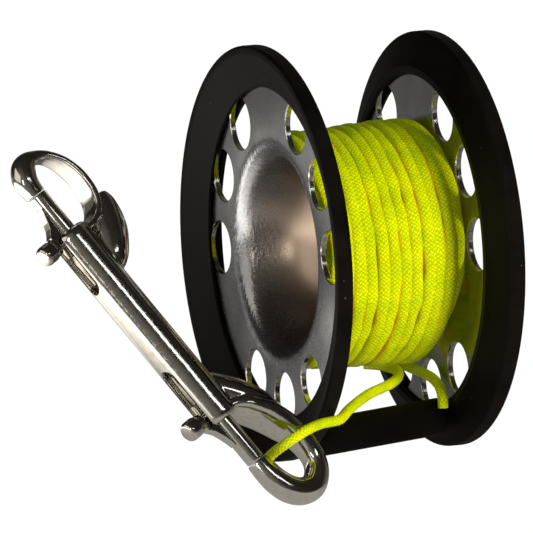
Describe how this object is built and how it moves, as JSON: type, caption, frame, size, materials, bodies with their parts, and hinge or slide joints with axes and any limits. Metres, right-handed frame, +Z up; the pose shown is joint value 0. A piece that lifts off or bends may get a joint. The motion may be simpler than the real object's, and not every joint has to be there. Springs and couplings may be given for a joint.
{
  "type": "finger spool",
  "caption": "Finger spool: steel drum of two dished flanges turning in black rims, wound with line, with a double bolt snap clipped to the line's end.",
  "frame": {"origin": "on the floor under the middle of the object, free line left out", "axes": "+X along the spool's axis, towards the flange away from the snap; +Y away from the viewer; +Z up"},
  "size_m": [0.111, 0.0986, 0.095],
  "materials": {
    "black_rim": "matte moulded",
    "black_bar": "matte",
    "pressed_steel": "tumbled, satin",
    "line": "braided",
    "cast_steel": "polished"
  },
  "bodies": {
    "frame": {"rim_left": "black_rim", "rim_right": "black_rim", "crossbar": "black_bar", "snap_body": "cast_steel", "line_lead": "line", "line_strand": "line"},
    "drum": {"dish_left": "pressed_steel", "dish_right": "pressed_steel", "line_core": "line", "line_winding": "line"},
    "upper_gate": {"gate_bolt_upper": "cast_steel", "thumb_stud_upper": "cast_steel"},
    "lower_gate": {"gate_bolt_lower": "cast_steel", "thumb_stud_lower": "cast_steel"}
  },
  "joints": [
    {"name": "drum_spin", "type": "hinge", "parent": "frame", "child": "drum", "pos_m": [0.03241, 0.00184, 0.0475], "axis": [1, 0, 0], "continuous": true},
    {"name": "upper_gate_slide", "type": "slide", "parent": "frame", "child": "upper_gate", "axis": [0.5243, -0.3967, -0.7535], "range_m": [0, 0.012], "stiffness_N_per_m": 250, "springref_m": -0.004},
    {"name": "lower_gate_slide", "type": "slide", "parent": "frame", "child": "lower_gate", "axis": [-0.5243, 0.3967, 0.7535], "range_m": [0, 0.012], "stiffness_N_per_m": 250, "springref_m": -0.004}
  ]
}
